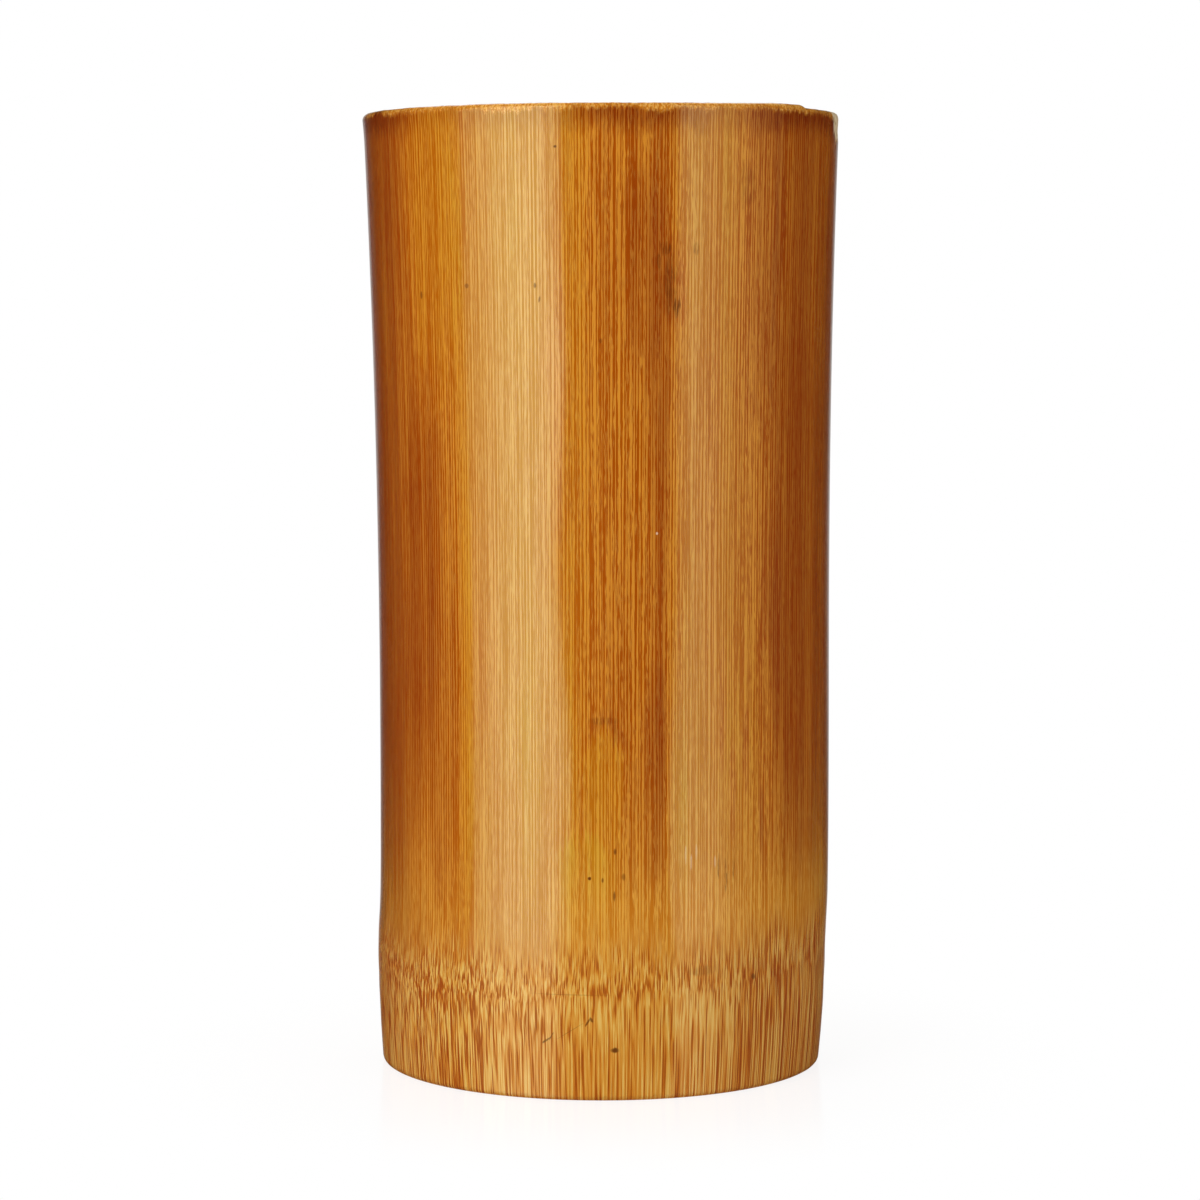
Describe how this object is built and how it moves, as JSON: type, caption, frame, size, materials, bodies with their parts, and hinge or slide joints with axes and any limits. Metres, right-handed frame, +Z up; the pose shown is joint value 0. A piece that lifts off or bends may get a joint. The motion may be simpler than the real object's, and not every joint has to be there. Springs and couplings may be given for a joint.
{
  "type": "bamboo cup",
  "caption": "Tall drinking cup cut from a bamboo culm: a slightly waisted lacquered wall, flared to the mouth, over a natural node diaphragm that closes it as the floor.",
  "frame": {"origin": "centre of the foot, on the surface that the cup stands on", "axes": "+Z up along the culm's axis, from the foot to the mouth; -Y towards the viewer of the picture, +X to the viewer's right"},
  "size_m": [0.0549, 0.055, 0.11],
  "materials": {
    "lacquered_bamboo": "amber stain under clear semi-gloss lacquer, fine upright fibres",
    "sawn_bamboo": "sawn and sanded end grain, thinly sealed",
    "bamboo_septum": "matte natural diaphragm, ridged",
    "bamboo_lining": "pale matte pith side, thinly sealed"
  },
  "bodies": {
    "root": {"lacquered_skin": "lacquered_bamboo", "culm_wall": "sawn_bamboo", "node_ring": "sawn_bamboo", "foot_ring": "sawn_bamboo", "floor_diaphragm": "bamboo_septum", "inner_lining": "bamboo_lining"}
  },
  "joints": []
}
